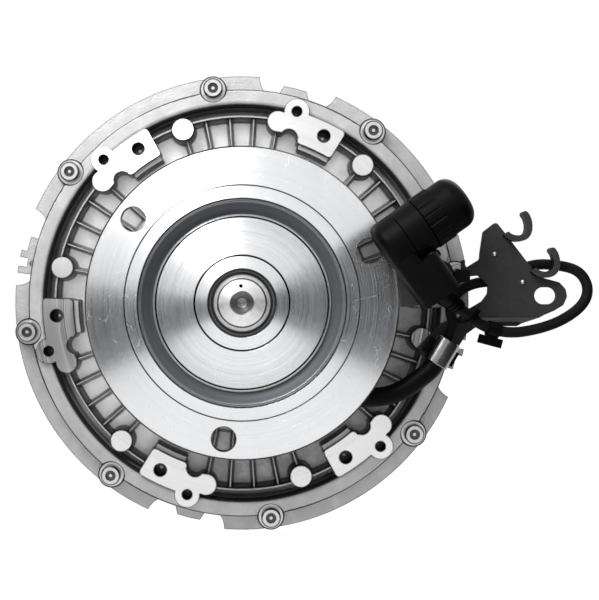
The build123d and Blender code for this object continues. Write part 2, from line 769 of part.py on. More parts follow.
leg_u = BACKSHELL_U + 0.5
with BuildPart() as backshell:
    with BuildSketch(connector_plane(BACKSHELL_U)):
        Circle(CONNECTOR_R)
    extrude(amount=BODY_U - 0.2 - BACKSHELL_U)
    end_edge = backshell.edges().filter_by(GeomType.CIRCLE).sort_by(plug_axis)[0]
    fillet(end_edge, radius=5)
    with BuildSketch(leg_plane):
        with Locations(((leg_u + BODY_U - 0.2) / 2, 0)):
            RectangleRounded(BODY_U - 0.2 - leg_u, LEG_DEPTH, 6)
    extrude(amount=CONNECTOR_OFFSET - LEG_N - 10)
    with BuildSketch(leg_plane):
        with Locations(((leg_u + LEG_U) / 2, 0)):
            RectangleRounded(LEG_U - leg_u, LEG_DEPTH, 8)
    extrude(amount=CONNECTOR_OFFSET - CONNECTOR_R - 0.5 - LEG_N)
    with BuildSketch(Plane(origin=Vector(*CABLE_END) - boot_dir * (BOOT_ROOT + 0.1), z_dir=boot_dir)):
        Circle(BOOT_R + 0.1)
    extrude(amount=BOOT_ROOT + BOOT_LENGTH + 6, mode=Mode.SUBTRACT)
keep(backshell.part, "connector_backshell")

# Clip that holds the connector on the left arm of the bracket, and the carrier behind the elbow
CLIP_CENTRE = (135.4, 16.6)
CARRIER_R = FLANGE_R + 0.2
CARRIER_Y = -6.7
CARRIER_T = 3.4
with BuildPart() as connector_clip:
    with BuildSketch(facing(CARRIER_Y - 6)):
        with Locations(CLIP_CENTRE):
            RectangleRounded(9.6, 7.6, 2)
    extrude(amount=-(BRACKET_Y + SHEET_T + 2.5 - CARRIER_Y + 6))
    with BuildSketch(facing(BRACKET_Y - 0.1)):
        with Locations((140.2, 18)):
            Rectangle(6, 14)
    extrude(amount=-(SHEET_T + 0.2), mode=Mode.SUBTRACT)
keep(connector_clip.part, "connector_clip")
with BuildPart() as connector_carrier:
    with BuildSketch(facing(CARRIER_Y)):
        with BuildLine():
            rim = ThreePointArc(
                clock(76, CARRIER_R),
                clock(84, CARRIER_R),
                clock(91.5, CARRIER_R),
            )
            Polyline(rim @ 1, (113, -1.0), (127, 3.0), (135.5, 12.5), (129.0, 24.0), (112, 33), rim @ 0)
        make_face()
    extrude(amount=-CARRIER_T)
    with BuildSketch(facing(CARRIER_Y - 1)):
        with Locations(CLIP_CENTRE):
            RectangleRounded(10.2, 8.2, 2.2)
    extrude(amount=-CARRIER_T - 2, mode=Mode.SUBTRACT)
    with BuildSketch(Plane(origin=Vector(*CABLE_END) - boot_dir * (BOOT_ROOT + 2), z_dir=boot_dir)):
        Circle(BOOT_R + GAP)
    extrude(amount=BOOT_ROOT + BOOT_LENGTH + 12, mode=Mode.SUBTRACT)
keep(connector_carrier.part, "connector_carrier")

# Places round the housing and the cover
screw_places = [clock(a, SCREW_CIRCLE_R) for a in spaced(SCREW_ANGLE, SCREW_COUNT)]
boss_places = [clock(a, BOSS_CIRCLE_R) for a in spaced(BOSS_ANGLE, SECTOR_COUNT)]
pad_angles = spaced(PAD_ANGLE, SECTOR_COUNT)
rib_angles = [
    start + RIB_PITCH * i
    for start in spaced(BOSS_ANGLE, SECTOR_COUNT)
    for i in range(RIBS_IN_SECTOR)
]
small_holes = [clock(a + FAN_SMALL_ANGLE, FAN_SMALL_CIRCLE_R) for a in pad_angles]
large_holes = [clock(a + FAN_LARGE_ANGLE, FAN_LARGE_CIRCLE_R) for a in pad_angles]
DOWEL_R = 2.0
DOWEL_DEPTH = 6.0
dowel_places = [clock(a, (SPIGOT_R + RING_OUT_R) / 2) for a in (60, 240)]
PLATE_SCREW_R = 2.0
PLATE_SCREW_HEAD_R = 3.6
PLATE_SCREW_Y = 57.0
plate_screw_places = [clock(a, (CHAMBER_WALL_R + PLATE_OUT_R) / 2) for a in spaced(15, 6)]
PLATE_Y = INNER_FACE - PLATE_T


def arc_round(radius, angle0, angle1):
    """An arc round the shaft axis between two clock angles, in the line that is open."""
    return ThreePointArc(*[clock(a, radius) for a in (angle0, (angle0 + angle1) / 2, angle1)])


def sector(r_in, r_out, angle0, angle1, y0, y1, mode=Mode.ADD):
    """A block between two radii, two clock angles and two depths."""
    with BuildSketch(facing(y0)) as face:
        with BuildLine():
            inner = arc_round(r_in, angle0, angle1)
            outer = arc_round(r_out, angle0, angle1)
            Line(inner @ 0, outer @ 0)
            Line(inner @ 1, outer @ 1)
        make_face()
    extrude(face.sketch, amount=y0 - y1, mode=mode)


def fan_pad(start):
    """One fan pad: a lobe, an ear over the ring and a broad block, all with rounded corners."""
    with BuildSketch(facing(PAD_FACE)) as outline:
        for r_in, r_out, angle0, angle1, corner in PAD_BLOCKS:
            with BuildLine():
                inner = arc_round(r_in, start + angle0, start + angle1)
                outer = arc_round(r_out, start + angle0, start + angle1)
                Line(inner @ 0, outer @ 0)
                Line(inner @ 1, outer @ 1)
            make_face()
            if corner:
                fillet(outline.vertices(), radius=corner)
        with Locations(clock(start, LOBE_CIRCLE_R)):
            Circle(LOBE_R)
        with Locations(clock(start + FAN_SMALL_ANGLE, FAN_SMALL_CIRCLE_R + 0.2)):
            Circle(EAR_R)
        with Locations(clock(start + PAD_NOTCH_ANGLE, PAD_NOTCH_CIRCLE_R)):
            Circle(PAD_NOTCH_R, mode=Mode.SUBTRACT)
    extrude(outline.sketch, amount=PAD_FACE - POCKET_FLOOR - 0.5)


# Rear housing: a ribbed casting with a machined ring, six fan pads and six bosses
FLUX_OUT_R = MAGNET_R - MAGNET_WALL
FLUX_IN_R = FLUX_OUT_R - 10.0
FLUX_DEPTH = 3.5
GROOVE_FLOOR = 57.0
SEAL_GROOVE_Y = 59.5
SEAL_GROOVE_W = 3.0
SEAL_GROOVE_DEPTH = 2.4
RETAINER_Y = MAIN_BEARING_END + 0.1
RETAINER_W = 1.5
RETAINER_DEPTH = 2.0
RIB_IN_R = DOME_R - 0.5
PAD_BLOCKS = ((PAD_IN_R, PAD_OUT_R, 7.5, 20.2, 2.6), (PAD_IN_R + 3.9, PAD_OUT_R - 2.7, 0, 8, 0))
PAD_NOTCH_ANGLE = 4.6
PAD_NOTCH_CIRCLE_R = PAD_IN_R + 1.9
PAD_NOTCH_R = 5.6
WORK_GAP = DISC_FACE - INNER_FACE
LAND_GROOVE_DEPTH = LAND_H - WORK_GAP + LAND_CLEAR
with BuildPart() as rear_housing:
    turned(
        [
            (SEAL_R, COLLAR_FACE),
            (COLLAR_R, COLLAR_FACE),
            (COLLAR_R, DOME_FACE),
            (FLUX_IN_R, DOME_FACE),
            (FLUX_IN_R, DOME_FACE + FLUX_DEPTH),
            (FLUX_OUT_R, DOME_FACE + FLUX_DEPTH),
            (FLUX_OUT_R, DOME_FACE),
            (DOME_R, DOME_FACE),
            (DOME_R + 2, POCKET_FLOOR),
            (RIDGE_IN_R - 1.3, POCKET_FLOOR),
            (RIDGE_IN_R, RIDGE_TOP),
            (RIDGE_OUT_R, RIDGE_TOP),
            (RIDGE_OUT_R + 0.7, GROOVE_FLOOR),
            (RING_IN_R - 0.5, GROOVE_FLOOR),
            (RING_IN_R, RING_FACE),
            (RING_OUT_R, RING_FACE),
            (RING_OUT_R, JOINT_FACE),
            (SPIGOT_R, JOINT_FACE),
            (SPIGOT_R, SEAL_GROOVE_Y),
            (SPIGOT_R - SEAL_GROOVE_DEPTH, SEAL_GROOVE_Y),
            (SPIGOT_R - SEAL_GROOVE_DEPTH, SEAL_GROOVE_Y + SEAL_GROOVE_W),
            (SPIGOT_R, SEAL_GROOVE_Y + SEAL_GROOVE_W),
            (SPIGOT_R, INNER_FACE - 0.5),
            (SPIGOT_R - 0.5, INNER_FACE),
            (PLATE_OUT_R, INNER_FACE),
            (PLATE_OUT_R, PLATE_Y),
            (CHAMBER_WALL_R, PLATE_Y),
            (CHAMBER_WALL_R, DOME_FACE + DOME_WALL),
            (HUB_R, DOME_FACE + DOME_WALL),
            (HUB_R, INNER_FACE),
            (MAIN_BEARING_R, INNER_FACE),
            (MAIN_BEARING_R, RETAINER_Y + RETAINER_W),
            (MAIN_BEARING_R + RETAINER_DEPTH, RETAINER_Y + RETAINER_W),
            (MAIN_BEARING_R + RETAINER_DEPTH, RETAINER_Y),
            (MAIN_BEARING_R, RETAINER_Y),
            (MAIN_BEARING_R, MAIN_BEARING_Y),
            (SEAL_R, MAIN_BEARING_Y),
        ]
    )
    ring_edges = rear_housing.edges().filter_by(GeomType.CIRCLE)
    ring_edges = ring_edges.filter_by(lambda e: abs(e.center().Y - RING_FACE) < 0.01)
    fillet(ring_edges.sort_by(SortBy.RADIUS)[-1], radius=RING_ROUND_OUT)
    fillet(ring_edges.sort_by(SortBy.RADIUS)[0], radius=RING_ROUND_IN)
    with BuildSketch(*[radial_plane(a, RIB_IN_R) for a in rib_angles]):
        with BuildLine():
            Polyline(
                (-0.6, RIB_TOP),
                (0.6, RIB_TOP),
                (1.7, POCKET_FLOOR + 0.5),
                (-1.7, POCKET_FLOOR + 0.5),
                close=True,
            )
        make_face()
    extrude(amount=RIDGE_IN_R + 0.5 - RIB_IN_R)
    for radius in LAND_RADII:
        reach = LAND_W / 2 + LAND_CLEAR
        ring(radius - reach, radius + reach, INNER_FACE - LAND_GROOVE_DEPTH, INNER_FACE, Mode.SUBTRACT)
    with BuildSketch(facing(POCKET_FLOOR + 0.5)):
        with Locations(*boss_places):
            Circle(BOSS_R + 1.1)
    extrude(amount=POCKET_FLOOR + 0.5 - BOSS_FACE, taper=3)
    discs(screw_places, LUG_R, RING_FACE, SCREW_SEAT, Mode.SUBTRACT)
    discs(screw_places, LUG_R, SCREW_SEAT, JOINT_FACE)
    for angle in pad_angles:
        sector(PAD_STEP_R, PAD_IN_R + 1, angle + 8.5, angle + 19.8, RING_FACE, POCKET_FLOOR + 0.5)
        fan_pad(angle)
    ring(SPIGOT_R, RIM_R, JOINT_FACE, INNER_FACE, Mode.SUBTRACT)
    discs(small_holes, FAN_SMALL_R, PAD_FACE, PAD_FACE + FAN_HOLE_DEPTH, Mode.SUBTRACT)
    discs(large_holes, FAN_LARGE_R, PAD_FACE, PAD_FACE + FAN_HOLE_DEPTH, Mode.SUBTRACT)
    discs(screw_places, SCREW_R + GAP, SCREW_SEAT, JOINT_FACE, Mode.SUBTRACT)
    discs(dowel_places, DOWEL_R + PIN_FIT, JOINT_FACE - DOWEL_DEPTH, JOINT_FACE, Mode.SUBTRACT)
    discs(plate_screw_places, PLATE_SCREW_R + PIN_FIT, PLATE_SCREW_Y - 0.5, PLATE_Y, Mode.SUBTRACT)
keep(rear_housing.part, "rear_housing")

# Flux ring, tone ring, seal and bearing retainer, all carried by the rear housing
with BuildPart() as flux_ring:
    ring(FLUX_IN_R, FLUX_OUT_R, MAGNET_FACE + AIR_GAP, DOME_FACE + FLUX_DEPTH)
keep(flux_ring.part, "flux_ring")
TONE_TEETH = 36
with BuildPart() as tone_ring:
    with BuildSketch(facing(TONE_Y)):
        Circle(TONE_OUT_R)
        with PolarLocations(TONE_OUT_R, TONE_TEETH):
            Rectangle(7, 7, mode=Mode.SUBTRACT)
        Circle(TONE_IN_R, mode=Mode.SUBTRACT)
    extrude(amount=TONE_Y - DOME_FACE)
keep(tone_ring.part, "tone_ring")
with BuildPart() as shaft_seal:
    turned(
        [
            (SEAL_R, COLLAR_FACE + 0.3),
            (SEAL_R, MAIN_BEARING_Y - 0.35),
            (SHAFT_R + 3.5, MAIN_BEARING_Y - 0.35),
            (SHAFT_R + GAP, MAIN_BEARING_Y - 1.0),
            (SHAFT_R + GAP, COLLAR_FACE + 0.8),
            (SHAFT_R + 3.5, COLLAR_FACE + 0.3),
        ]
    )
keep(shaft_seal.part, "shaft_seal")
with BuildPart() as retainer:
    with BuildSketch(facing(RETAINER_Y)):
        Circle(MAIN_BEARING_R + RETAINER_DEPTH)
        Circle(MAIN_BEARING_R - 2.4, mode=Mode.SUBTRACT)
        with Locations((0, -MAIN_BEARING_R)):
            Rectangle(12, 9, mode=Mode.SUBTRACT)
    extrude(amount=-(RETAINER_W - 0.1))
keep(retainer.part, "bearing_retaining_ring")

# Reservoir plate with its feed port and the two ears that carry the valve pivot
LEVER_HALF = 9.7
EAR_T = 2.0
with BuildPart() as reservoir_plate:
    ring(HUB_R + 0.4, PLATE_OUT_R, PLATE_Y, INNER_FACE)
    for side in (-LEVER_HALF - GAP - EAR_T, LEVER_HALF + GAP):
        with BuildSketch(Plane.YZ.offset(side)):
            with Locations(((PIVOT_Y - 2.5 + PLATE_Y) / 2, PIVOT_Z)):
                Rectangle(PLATE_Y - PIVOT_Y + 2.5, 5.6)
            with Locations((PIVOT_Y, PIVOT_Z)):
                Circle(PIVOT_R, mode=Mode.SUBTRACT)
        extrude(amount=EAR_T)
    discs([(0, PORT_Z)], 3.5, PLATE_Y, INNER_FACE, Mode.SUBTRACT)
    discs(plate_screw_places, PLATE_SCREW_R + PIN_FIT, PLATE_Y, INNER_FACE, Mode.SUBTRACT)
    discs(plate_screw_places, PLATE_SCREW_HEAD_R + PIN_FIT, INNER_FACE - 1.4, INNER_FACE, Mode.SUBTRACT)
keep(reservoir_plate.part, "reservoir_plate")
with BuildPart() as plate_screws:
    discs(plate_screw_places, PLATE_SCREW_R, PLATE_SCREW_Y, INNER_FACE - 1.0)
    discs(plate_screw_places, PLATE_SCREW_HEAD_R, INNER_FACE - 1.4, INNER_FACE)
    discs(plate_screw_places, 1.2, INNER_FACE - 0.8, INNER_FACE, Mode.SUBTRACT)
keep(plate_screws.part, "reservoir_plate_screws")

# Valve: a lever on a pin, moved by an armature and closed by a leaf spring
LEVER_Y = 60.6
LEVER_T = 1.2
LEVER_W = 12.0
ARMATURE_Y = 53.4
ARMATURE_T = 3.0
ARMATURE_Z = (PIVOT_Z + PORT_Z) / 2 + 3.2
ARMATURE_W = 30.0
ARMATURE_H = PORT_Z - PIVOT_Z - 3.5
POST_X = 4.0
POST_R = 1.8
with BuildPart() as valve_lever:
    with BuildSketch(Plane.YZ.offset(-LEVER_HALF)):
        with Locations((PIVOT_Y, PIVOT_Z)):
            Circle(PIVOT_R + 1.5)
    extrude(amount=2 * LEVER_HALF)
    with BuildSketch(facing(LEVER_Y)):
        with Locations((0, (PIVOT_Z + PORT_Z + 3.5) / 2)):
            Rectangle(LEVER_W, PORT_Z + 3 - PIVOT_Z)
    extrude(amount=-LEVER_T)
    discs([(0, PORT_Z)], 4.4, LEVER_Y, PLATE_Y - GAP)
    with BuildSketch(Plane.YZ.offset(-LEVER_HALF)):
        with Locations((PIVOT_Y, PIVOT_Z)):
            Circle(PIVOT_R + PIN_FIT)
    extrude(amount=2 * LEVER_HALF, mode=Mode.SUBTRACT)
keep(valve_lever.part, "valve_lever")
with BuildPart() as armature:
    with BuildSketch(facing(ARMATURE_Y)):
        with Locations((0, ARMATURE_Z)):
            RectangleRounded(ARMATURE_W, ARMATURE_H, 2)
    extrude(amount=-ARMATURE_T)
    posts = [(-POST_X, ARMATURE_Z), (POST_X, ARMATURE_Z)]
    discs(posts, POST_R, ARMATURE_Y + ARMATURE_T, LEVER_Y)
keep(armature.part, "valve_armature")
with BuildPart() as pivot_pin:
    with BuildSketch(Plane.YZ.offset(-LEVER_HALF - GAP - EAR_T)):
        with Locations((PIVOT_Y, PIVOT_Z)):
            Circle(PIVOT_R)
    extrude(amount=2 * (LEVER_HALF + GAP + EAR_T))
keep(pivot_pin.part, "valve_pivot_pin")
CHAMBER_FLOOR = DOME_FACE + DOME_WALL
SPRING_Z = PIVOT_Z + 4.5
SPRING_BEND_Z = PIVOT_Z + 7.5
SPRING_TIP_Z = ARMATURE_Z + 2.3
SPRING_T = 0.4
SPRING_W = 6.0
with BuildPart() as valve_spring:
    with BuildSketch(Plane.YZ.offset(-SPRING_W / 2)):
        with BuildLine():
            Polyline(
                (CHAMBER_FLOOR, SPRING_Z),
                (CHAMBER_FLOOR + SPRING_T, SPRING_Z),
                (CHAMBER_FLOOR + SPRING_T, SPRING_BEND_Z),
                (ARMATURE_Y - GAP, SPRING_TIP_Z),
                (ARMATURE_Y - GAP - SPRING_T, SPRING_TIP_Z + 0.2),
                (CHAMBER_FLOOR, SPRING_BEND_Z + 0.3),
                close=True,
            )
        make_face()
    extrude(amount=SPRING_W)
keep(valve_spring.part, "valve_spring")

# Drive disc with its labyrinth rings, on the tail of the shaft
DISC_HUB_R = 30.0
OIL_HOLE_R = 4.0
OIL_CIRCLE_R = 60.0
with BuildPart() as drive_disc:
    turned(
        [
            (SHAFT_TAIL_R, MAIN_BEARING_END),
            (SHAFT_TAIL_R + 8.5, MAIN_BEARING_END),
            (SHAFT_TAIL_R + 8.5, INNER_FACE + 0.6),
            (DISC_HUB_R, DISC_FACE),
            (DISC_R, DISC_FACE),
            (DISC_R, DISC_FACE + DISC_T),
            (DISC_HUB_R + 2, DISC_FACE + DISC_T),
            (DISC_HUB_R, DISC_FACE + DISC_T + 2),
            (DISC_HUB_R, DISC_HUB_END),
            (SHAFT_TAIL_R, DISC_HUB_END),
        ]
    )
    for radius in LAND_RADII:
        ring(radius - LAND_W / 2, radius + LAND_W / 2, DISC_FACE - LAND_H, DISC_FACE + DISC_T + LAND_H)
    oil_places = [clock(a, OIL_CIRCLE_R) for a in spaced(0, 6)]
    discs(oil_places, OIL_HOLE_R, DISC_FACE, DISC_FACE + DISC_T, Mode.SUBTRACT)
keep(drive_disc.part, "drive_disc")
with BuildPart() as disc_washer:
    ring(SHAFT_SCREW_R, 24, DISC_HUB_END, DISC_HUB_END + 3)
keep(disc_washer.part, "disc_washer")
with BuildPart() as disc_screw:
    discs([(0, 0)], SHAFT_SCREW_R, DISC_HUB_END - 21, DISC_HUB_END + 3)
    with BuildSketch(facing(DISC_HUB_END + 3)):
        RegularPolygon(8.5, 6)
    extrude(amount=-6.5)
keep(disc_screw.part, "disc_screw")

# Front cover: a finned casting, whose broken rim takes the cover screws
COVER_FACE = COVER_INNER + COVER_WALL
COVER_OUT_R = RING_OUT_R + 0.3
RIM_ROOT_R = RING_OUT_R - 1.0
RIM_FOOT = 3.0
PLUG_R = 6.0
PLUG_FACE = FIN_TOP - 7
COVER_CAVITY_R = 35.0
LONG_FIN_R = DOME_COVER_R - 1
SHORT_FIN_R = 90.0
FIN_PITCH = 360 / FIN_COUNT
FIN_OUT_R = COVER_OUT_R - 5.5
RIM_SHOULDER_R = RIM_R - 7.7
TAB_BLOCKS = ((3.2, 5.0, RIM_R), (7.3, 9.1, RIM_R), (4.9, 7.4, RIM_R - 5.5), (9.0, 13.0, BUMP_R))
with BuildPart() as front_cover:
    turned(
        [
            (SPIGOT_R + 0.1, JOINT_FACE),
            (COVER_OUT_R, JOINT_FACE),
            (COVER_OUT_R, JOINT_FACE + RIM_T + 1),
            (COVER_OUT_R - 5.3, COVER_FACE),
            (DOME_COVER_R + 2, COVER_FACE),
            (DOME_COVER_R, FIN_TOP - 2),
            (DOME_COVER_R - 2, FIN_TOP),
            (0, FIN_TOP),
            (0, PLUG_FACE),
            (COVER_CAVITY_R - 2, PLUG_FACE),
            (COVER_CAVITY_R, PLUG_FACE - 2),
            (COVER_CAVITY_R, COVER_INNER),
            (CHAMBER_R, COVER_INNER),
            (CHAMBER_R, INNER_FACE + GAP),
            (SPIGOT_R + 0.1, INNER_FACE + GAP),
        ]
    )
    for start_r, first in ((LONG_FIN_R, 0), (SHORT_FIN_R, FIN_PITCH / 2)):
        with BuildSketch(*[axial_plane(a) for a in spaced(first, FIN_COUNT)]):
            with BuildLine():
                Polyline(
                    (start_r, COVER_FACE - 0.5),
                    (start_r + 1, FIN_TOP - 2),
                    (start_r + 7, FIN_TOP),
                    (FIN_OUT_R - 16.3, FIN_TOP),
                    (FIN_OUT_R - 1.3, FIN_TOP - 11),
                    (FIN_OUT_R, COVER_FACE - 0.5),
                    close=True,
                )
            make_face()
        extrude(amount=FIN_T / 2, both=True)
    for angle0, angle1 in RIM_ARCS:
        with BuildSketch(facing(JOINT_FACE)):
            with BuildLine():
                outer = arc_round(RIM_R, angle0, angle1)
                inner = arc_round(RIM_ROOT_R, angle0 - RIM_FOOT, angle1 + RIM_FOOT)
                ThreePointArc(inner @ 0, clock(angle0 - RIM_FOOT * 0.35, RIM_SHOULDER_R), outer @ 0)
                ThreePointArc(inner @ 1, clock(angle1 + RIM_FOOT * 0.35, RIM_SHOULDER_R), outer @ 1)
            make_face()
        extrude(amount=-RIM_T)
        if angle1 in TAB_GAPS:
            for start, end, reach in TAB_BLOCKS:
                sector(RIM_ROOT_R, reach, angle1 + start, angle1 + end, JOINT_FACE, JOINT_FACE + RIM_T)
            discs([clock(angle1 + 6.15, RIM_R - 8.9)], 1.8, JOINT_FACE, JOINT_FACE + RIM_T, Mode.SUBTRACT)
        else:
            with BuildSketch(facing(JOINT_FACE)):
                with BuildLine():
                    Polyline(
                        clock(angle1 + 5.0, RIM_ROOT_R),
                        clock(angle1 + 6.5, BUMP_R),
                        clock(angle1 + 9.5, BUMP_R + 0.1),
                        clock(angle1 + 12.5, BUMP_R),
                        clock(angle1 + 14.5, RIM_ROOT_R),
                        close=True,
                    )
                make_face()
            extrude(amount=-RIM_T)
    for radius in LAND_RADII:
        reach = LAND_W / 2 + LAND_CLEAR
        ring(radius - reach, radius + reach, COVER_INNER, COVER_INNER + LAND_GROOVE_DEPTH, Mode.SUBTRACT)
    discs(screw_places, SCREW_R, JOINT_FACE, JOINT_FACE + RIM_T, Mode.SUBTRACT)
    discs(dowel_places, DOWEL_R + PIN_FIT, JOINT_FACE, JOINT_FACE + DOWEL_DEPTH, Mode.SUBTRACT)
    discs([(0, 0)], PLUG_R, PLUG_FACE, FIN_TOP, Mode.SUBTRACT)
keep(front_cover.part, "front_cover")

# Seal, screws, washers, dowels, wiper and plug of the cover
with BuildPart() as cover_o_ring:
    with BuildSketch(Plane.XY):
        with Locations((SPIGOT_R - SEAL_GROOVE_DEPTH / 2, SEAL_GROOVE_Y + SEAL_GROOVE_W / 2)):
            Circle(SEAL_GROOVE_DEPTH / 2)
    revolve(axis=Axis.Y)
keep(cover_o_ring.part, "cover_o_ring")
with BuildPart() as cover_screws:
    seat = SCREW_SEAT - WASHER_T
    discs(screw_places, SCREW_R, seat, JOINT_FACE + RIM_T - 2)
    discs(screw_places, SCREW_HEAD_R, seat - SCREW_HEAD_H, seat)
    rims = cover_screws.edges().filter_by(GeomType.CIRCLE)
    rims = rims.filter_by(lambda e: abs(e.center().Y - seat + SCREW_HEAD_H) < 0.01)
    chamfer(rims, length=SCREW_HEAD_CHAMFER)
    discs(screw_places, SCREW_SOCKET_R, seat - SCREW_HEAD_H, seat - SCREW_HEAD_H + 4, Mode.SUBTRACT)
    discs(screw_places, 1.1, seat - SCREW_HEAD_H + 1, seat - SCREW_HEAD_H + 4)
keep(cover_screws.part, "cover_screws")
with BuildPart() as cover_washers:
    discs(screw_places, WASHER_R, SCREW_SEAT - WASHER_T, SCREW_SEAT)
    discs(screw_places, SCREW_R, SCREW_SEAT - WASHER_T, SCREW_SEAT, Mode.SUBTRACT)
keep(cover_washers.part, "cover_screw_washers")
with BuildPart() as dowels:
    discs(dowel_places, DOWEL_R, JOINT_FACE - DOWEL_DEPTH + 0.5, JOINT_FACE + DOWEL_DEPTH - 0.5)
keep(dowels.part, "dowel_pins")
with BuildPart() as wiper:
    sector(DISC_R + 1, CHAMBER_R, 5, 10, DISC_FACE, DISC_FACE + DISC_T)
keep(wiper.part, "oil_wiper")
with BuildPart() as fill_plug:
    discs([(0, 0)], PLUG_R, PLUG_FACE, FIN_TOP)
    with BuildSketch(facing(FIN_TOP)):
        RegularPolygon(9, 6)
    extrude(amount=-4)
keep(fill_plug.part, "fill_plug")
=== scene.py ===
"""Dressing of the viscous fan clutch: camera, studio light, and the finish of every piece.

Lengths are in metres. The shaft lies along Y, the mounting face of the input flange is at Y = 0
and looks along -Y, and +Z is up.
"""

import bpy
from math import atan2, hypot, pi, radians
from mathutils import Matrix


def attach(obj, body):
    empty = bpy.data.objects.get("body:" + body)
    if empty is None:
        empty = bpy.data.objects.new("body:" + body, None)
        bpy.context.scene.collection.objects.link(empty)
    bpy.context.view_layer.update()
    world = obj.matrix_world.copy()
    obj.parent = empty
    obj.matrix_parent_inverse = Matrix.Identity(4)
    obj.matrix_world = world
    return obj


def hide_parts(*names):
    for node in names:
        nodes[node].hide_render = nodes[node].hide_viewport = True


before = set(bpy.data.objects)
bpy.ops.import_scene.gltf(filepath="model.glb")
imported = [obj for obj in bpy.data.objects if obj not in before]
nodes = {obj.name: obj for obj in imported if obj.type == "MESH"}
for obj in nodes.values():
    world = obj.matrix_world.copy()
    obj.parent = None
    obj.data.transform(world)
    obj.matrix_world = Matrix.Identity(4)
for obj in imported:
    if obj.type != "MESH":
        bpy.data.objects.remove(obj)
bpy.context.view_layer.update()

scene = bpy.context.scene
scene.view_settings.view_transform = "Standard"

# Camera on the shaft axis, on the engine side, at the height of the shaft.
# The clutch stands left of the middle of the picture, which leaves room for the bracket.
IMAGE_W = 599
IMAGE_H = 600
SENSOR_W = 36.0
CAMERA_DISTANCE = 0.900
RING_Y = 0.040
SCALE_AT_RING = 0.0006526
CENTRE_PX = (242.0, 303.0)
camera_data = bpy.data.cameras.new("camera")
camera_data.sensor_fit = "HORIZONTAL"
camera_data.sensor_width = SENSOR_W
camera_data.lens = SENSOR_W * CAMERA_DISTANCE / (IMAGE_W * SCALE_AT_RING)
camera_data.shift_x = (IMAGE_W / 2 - CENTRE_PX[0]) / IMAGE_W
camera_data.shift_y = (CENTRE_PX[1] - IMAGE_H / 2) / IMAGE_W
camera_data.clip_start = 0.01
camera = bpy.data.objects.new("camera", camera_data)
camera.location = (0, RING_Y - CAMERA_DISTANCE, 0)
camera.rotation_euler = (pi / 2, 0, 0)
scene.collection.objects.link(camera)
scene.camera = camera


class Signal:
    """One output of a node. Arithmetic on it adds Math nodes to the same tree."""

    def __init__(self, graph, socket):
        self.graph = graph
        self.socket = socket

    def math(self, operation, *values):
        """The result of one Math node on some values."""
        inputs = {index: value for index, value in enumerate(values)}
        return self.graph.add("Math", {"operation": operation}, inputs)

    def most(self, other):
        """The greater of this signal and another value."""
        return self.math("MAXIMUM", self, other)

    def __add__(self, other):
        return self.math("ADD", self, other)

    def __radd__(self, other):
        return self.math("ADD", other, self)

    def __sub__(self, other):
        return self.math("SUBTRACT", self, other)

    def __rsub__(self, other):
        return self.math("SUBTRACT", other, self)

    def __mul__(self, other):
        return self.math("MULTIPLY", self, other)

    def __rmul__(self, other):
        return self.math("MULTIPLY", other, self)

    def __truediv__(self, other):
        return self.math("DIVIDE", self, other)

    def __rtruediv__(self, other):
        return self.math("DIVIDE", other, self)

    def __pow__(self, other):
        return self.math("POWER", self, other)

    def __abs__(self):
        return self.math("ABSOLUTE", self)


class Graph:
    """A node tree being built, with one method that adds any node."""

    def __init__(self, tree):
        self.tree = tree
        tree.nodes.clear()

    def feed(self, socket, value):
        """Links a signal to a socket, or sets the socket to a value."""
        if isinstance(value, Signal):
            self.tree.links.new(value.socket, socket)
        elif isinstance(value, tuple) and len(socket.default_value) == 4:
            socket.default_value = (*value, 1.0)
        else:
            socket.default_value = value

    def add(self, kind, settings=None, inputs=None, output=0):
        """Adds a node: its settings come first, then its inputs, each a value or a signal."""
        node = self.tree.nodes.new("ShaderNode" + kind)
        for key, value in (settings or {}).items():
            setattr(node, key, value)
        for key, value in (inputs or {}).items():
            self.feed(node.inputs[key], value)
        return Signal(self, node.outputs[output]) if node.outputs else None

    def split(self, vector):
        """The three coordinates of a vector."""
        parts = self.add("SeparateXYZ", None, {0: vector}).socket.node
        return [Signal(self, output) for output in parts.outputs]

    def seen(self):
        """1 for the camera's rays, and for rays that a shiny or clear surface sends on."""
        kinds = self.add("LightPath").socket.node.outputs
        names = ("Is Camera Ray", "Is Glossy Ray", "Is Transmission Ray")
        camera_ray, glossy, clear = [Signal(self, kinds[name]) for name in names]
        return camera_ray.most(glossy.most(clear))

    def ramp(self, value, low, high):
        """A smooth step from 0 at low to 1 at high."""
        settings = {"interpolation_type": "SMOOTHSTEP"}
        inputs = {"Value": value, "From Min": low, "From Max": high}
        return self.add("MapRange", settings, inputs)

    def band(self, value, low, high, soft):
        """1 where a value lies between two bounds, with soft ends."""
        return self.ramp(value, low - soft, low) * (1.0 - self.ramp(value, high, high + soft))

    def blend(self, factor, first, second):
        """A number between two numbers."""
        return self.add("Mix", {"data_type": "FLOAT"}, {0: factor, 2: first, 3: second})

    def mix(self, factor, first, second):
        """A colour between two colours."""
        return self.add("Mix", {"data_type": "RGBA"}, {0: factor, 6: first, 7: second}, output=2)


